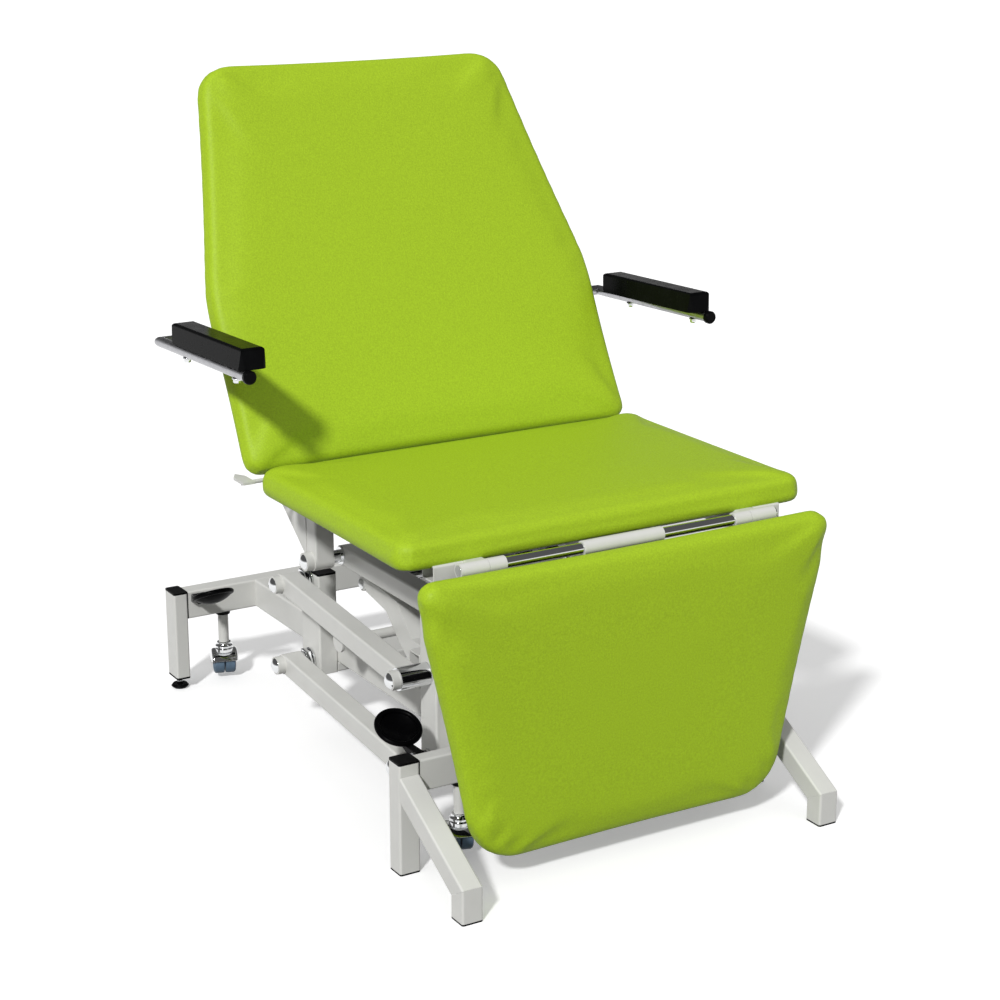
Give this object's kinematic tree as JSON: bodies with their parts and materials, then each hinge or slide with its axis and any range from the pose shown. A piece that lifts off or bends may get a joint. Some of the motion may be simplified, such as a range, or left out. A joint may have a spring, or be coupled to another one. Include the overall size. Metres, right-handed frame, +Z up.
{
  "type": "ultrasound table",
  "caption": "Height-adjustable treatment couch with reclining backrest, seat and hinged legrest, on a parallelogram arm lift with retractable castors.",
  "frame": {"origin": "On the floor at the middle of the footprint, under the plane of symmetry", "axes": "+Z up, +Y towards the head end, X across the couch with the release lever at -X"},
  "size_m": [1.009, 1.2891, 1.3198],
  "materials": {
    "frame_paint": "satin light grey powder coat",
    "upholstery": "fine-grained lime green vinyl",
    "board": "birch plywood",
    "chrome": "polished chrome",
    "steel": "dark zinc steel",
    "black_plastic": "moulded black plastic",
    "pedal_black": "glossy black plastic",
    "arm_foam": "integral foam with a fine grain",
    "tyre": "blue-grey castor tread",
    "strut_black": "black lacquered steel"
  },
  "bodies": {
    "base": {"front_crossbeam": "frame_paint", "rear_crossbeam": "frame_paint", "side_rails": "frame_paint", "rear_posts": "frame_paint", "front_legs": "frame_paint", "front_braces": "frame_paint", "rear_legs": "frame_paint", "tube_caps": "black_plastic", "foot_inserts": "black_plastic", "beam_end_caps": "black_plastic", "pedal_brackets": "steel", "castor_collars": "black_plastic", "rear_pivot_pins": "chrome", "actuator_mount": "steel"},
    "left_foot": {"left_levelling_foot": "black_plastic"},
    "right_foot": {"right_levelling_foot": "black_plastic"},
    "upper_arms": {"upper_arms": "frame_paint", "upper_arm_sleeves": "chrome"},
    "lower_arms": {"lower_arms": "frame_paint"},
    "carriage": {"carriage_frame": "frame_paint", "carriage_braces": "frame_paint", "carriage_tie_rod": "chrome", "carriage_pins": "chrome"},
    "lift_motor_body": {"lift_motor": "strut_black"},
    "lift_rod_body": {"lift_rod": "chrome"},
    "tilt_cylinder_body": {"tilt_cylinder": "strut_black"},
    "tilt_rod_body": {"tilt_rod": "chrome"},
    "seat": {"seat_frame": "frame_paint", "seat_board": "board", "seat_cushion": "upholstery", "hinge_bars": "chrome", "leg_spring_cylinder": "strut_black"},
    "backrest": {"backrest_frame": "frame_paint", "backrest_board": "board", "backrest_cushion": "upholstery"},
    "back_spring_cylinder_body": {"back_spring_cylinder": "strut_black"},
    "back_spring_rod_body": {"back_spring_rod": "chrome"},
    "release_lever_body": {"release_lever": "frame_paint"},
    "left_armrest": {"left_armrest_tube": "chrome", "left_armrest_pad": "arm_foam", "left_armrest_cap": "black_plastic"},
    "right_armrest": {"right_armrest_tube": "chrome", "right_armrest_pad": "arm_foam", "right_armrest_cap": "black_plastic"},
    "legrest": {"legrest_frame": "frame_paint", "legrest_board": "board", "legrest_cushion": "upholstery"},
    "leg_spring_rod_body": {"leg_spring_rod": "chrome"},
    "front_pedal_pair": {"front_pedals": "pedal_black"},
    "rear_pedal_pair": {"rear_pedals": "pedal_black"},
    "front_stems": {"front_castor_stems": "frame_paint"},
    "rear_stems": {"rear_castor_stems": "frame_paint"},
    "front_left_castor": {"front_left_castor_hood": "chrome"},
    "front_left_wheel_pair": {"front_left_wheels": "tyre"},
    "front_right_castor": {"front_right_castor_hood": "chrome"},
    "front_right_wheel_pair": {"front_right_wheels": "tyre"},
    "rear_left_castor": {"rear_left_castor_hood": "chrome"},
    "rear_left_wheel_pair": {"rear_left_wheels": "tyre"},
    "rear_right_castor": {"rear_right_castor_hood": "chrome"},
    "rear_right_wheel_pair": {"rear_right_wheels": "tyre"}
  },
  "joints": [
    {"name": "lift", "type": "hinge", "parent": "base", "child": "upper_arms", "pos_m": [0, 0.2415, 0.326], "axis": [-1, 0, 0], "range_deg": [-3, 40]},
    {"name": "lower_arm_swing", "type": "hinge", "parent": "base", "child": "lower_arms", "pos_m": [0, 0.2415, 0.158], "axis": [-1, 0, 0], "range_deg": [-3, 40]},
    {"name": "carriage_level", "type": "hinge", "parent": "upper_arms", "child": "carriage", "pos_m": [0, -0.23888, 0.28651], "axis": [-1, 0, 0], "range_deg": [-40, 3]},
    {"name": "lift_motor_swing", "type": "hinge", "parent": "base", "child": "lift_motor_body", "pos_m": [0, 0.2395, 0.165], "axis": [-1, 0, 0], "range_deg": [-1.94, 25.86]},
    {"name": "lift_rod_slide", "type": "slide", "parent": "lift_motor_body", "child": "lift_rod_body", "axis": [0, -0.8964, 0.4431], "range_m": [-0.00661, 0.0881]},
    {"name": "tilt", "type": "hinge", "parent": "carriage", "child": "seat", "pos_m": [0, 0.09962, 0.41401], "axis": [-1, 0, 0], "range_deg": [0, 12]},
    {"name": "tilt_cylinder_swing", "type": "hinge", "parent": "carriage", "child": "tilt_cylinder_body", "pos_m": [0, -0.18888, 0.33001], "axis": [-1, 0, 0], "range_deg": [0, 6]},
    {"name": "tilt_rod_slide", "type": "slide", "parent": "tilt_cylinder_body", "child": "tilt_rod_body", "axis": [0, 0.0621, 0.9981], "range_m": [0, 0.05797]},
    {"name": "backrest_recline", "type": "hinge", "parent": "seat", "child": "backrest", "pos_m": [0, 0.12062, 0.58301], "axis": [1, 0, 0], "range_deg": [-62, 13]},
    {"name": "back_spring_swing", "type": "hinge", "parent": "seat", "child": "back_spring_cylinder_body", "pos_m": [0, 0.12962, 0.52001], "axis": [1, 0, 0], "range_deg": [-50.29, 10.54]},
    {"name": "back_spring_slide", "type": "slide", "parent": "back_spring_cylinder_body", "child": "back_spring_rod_body", "axis": [0, 0.4513, 0.8924], "range_m": [-0.05401, 0.01132]},
    {"name": "release_lever_press", "type": "hinge", "parent": "seat", "child": "release_lever_body", "pos_m": [0, 0.09762, 0.58801], "axis": [1, 0, 0], "range_deg": [0, 12], "stiffness_Nm_per_rad": 2},
    {"name": "left_armrest_fold", "type": "hinge", "parent": "backrest", "child": "left_armrest", "pos_m": [-0.3, 0.32435, 0.81706], "axis": [-1, 0, 0], "range_deg": [0, 110]},
    {"name": "right_armrest_fold", "type": "hinge", "parent": "backrest", "child": "right_armrest", "pos_m": [0.3, 0.32435, 0.81706], "axis": [-1, 0, 0], "range_deg": [0, 110]},
    {"name": "legrest_raise", "type": "hinge", "parent": "seat", "child": "legrest", "pos_m": [0, -0.50338, 0.57001], "axis": [-1, 0, 0], "range_deg": [0, 90]},
    {"name": "leg_spring_slide", "type": "slide", "parent": "seat", "child": "leg_spring_rod_body", "axis": [0, -1, 0], "range_m": [0, 0.06364]},
    {"name": "front_castor_lower", "type": "slide", "parent": "base", "child": "front_stems", "axis": [0, 0, -1], "range_m": [0, 0.022]},
    {"name": "rear_castor_lower", "type": "slide", "parent": "base", "child": "rear_stems", "axis": [0, 0, -1], "range_m": [0, 0.022]},
    {"name": "front_pedal_press", "type": "hinge", "parent": "base", "child": "front_pedal_pair", "pos_m": [0, -0.3755, 0.195], "axis": [-1, 0, 0], "range_deg": [0, 18]},
    {"name": "rear_pedal_press", "type": "hinge", "parent": "base", "child": "rear_pedal_pair", "pos_m": [0, 0.5805, 0.203], "axis": [1, 0, 0], "range_deg": [0, 18]},
    {"name": "front_left_swivel", "type": "hinge", "parent": "front_stems", "child": "front_left_castor", "pos_m": [-0.265, -0.4005, 0.06], "axis": [0, 0, 1], "continuous": true},
    {"name": "front_left_roll", "type": "hinge", "parent": "front_left_castor", "child": "front_left_wheel_pair", "pos_m": [-0.26253, -0.39289, 0.035], "axis": [0.9511, -0.309, 0], "continuous": true},
    {"name": "front_right_swivel", "type": "hinge", "parent": "front_stems", "child": "front_right_castor", "pos_m": [0.265, -0.4005, 0.06], "axis": [0, 0, 1], "continuous": true},
    {"name": "front_right_roll", "type": "hinge", "parent": "front_right_castor", "child": "front_right_wheel_pair", "pos_m": [0.26747, -0.39289, 0.035], "axis": [0.9511, -0.309, 0], "continuous": true},
    {"name": "rear_left_swivel", "type": "hinge", "parent": "rear_stems", "child": "rear_left_castor", "pos_m": [-0.265, 0.6105, 0.06], "axis": [0, 0, 1], "continuous": true},
    {"name": "rear_left_roll", "type": "hinge", "parent": "rear_left_castor", "child": "rear_left_wheel_pair", "pos_m": [-0.26253, 0.61811, 0.035], "axis": [0.9511, -0.309, 0], "continuous": true},
    {"name": "rear_right_swivel", "type": "hinge", "parent": "rear_stems", "child": "rear_right_castor", "pos_m": [0.265, 0.6105, 0.06], "axis": [0, 0, 1], "continuous": true},
    {"name": "rear_right_roll", "type": "hinge", "parent": "rear_right_castor", "child": "rear_right_wheel_pair", "pos_m": [0.26747, 0.61811, 0.035], "axis": [0.9511, -0.309, 0], "continuous": true},
    {"name": "left_foot_screw", "type": "slide", "parent": "base", "child": "left_foot", "axis": [0, 0, -1], "range_m": [0, 0.012]},
    {"name": "right_foot_screw", "type": "slide", "parent": "base", "child": "right_foot", "axis": [0, 0, -1], "range_m": [0, 0.012]}
  ],
  "couplings": [
    {"joint": "lower_arm_swing", "follows": "lift", "ratio": 1},
    {"joint": "carriage_level", "follows": "lift", "ratio": -1},
    {"joint": "lift_motor_swing", "follows": "lift", "ratio": 0.6466},
    {"joint": "lift_rod_slide", "follows": "lift", "m_per_rad": 0.1262},
    {"joint": "tilt_cylinder_swing", "follows": "tilt", "ratio": 0.5},
    {"joint": "tilt_rod_slide", "follows": "tilt", "m_per_rad": 0.2768},
    {"joint": "back_spring_swing", "follows": "backrest_recline", "ratio": 0.8111},
    {"joint": "back_spring_slide", "follows": "backrest_recline", "m_per_rad": 0.049914},
    {"joint": "leg_spring_slide", "follows": "legrest_raise", "m_per_rad": 0.040514},
    {"joint": "front_pedal_press", "follows": "front_castor_lower", "rad_per_m": 14.28},
    {"joint": "rear_pedal_press", "follows": "rear_castor_lower", "rad_per_m": 14.28}
  ]
}
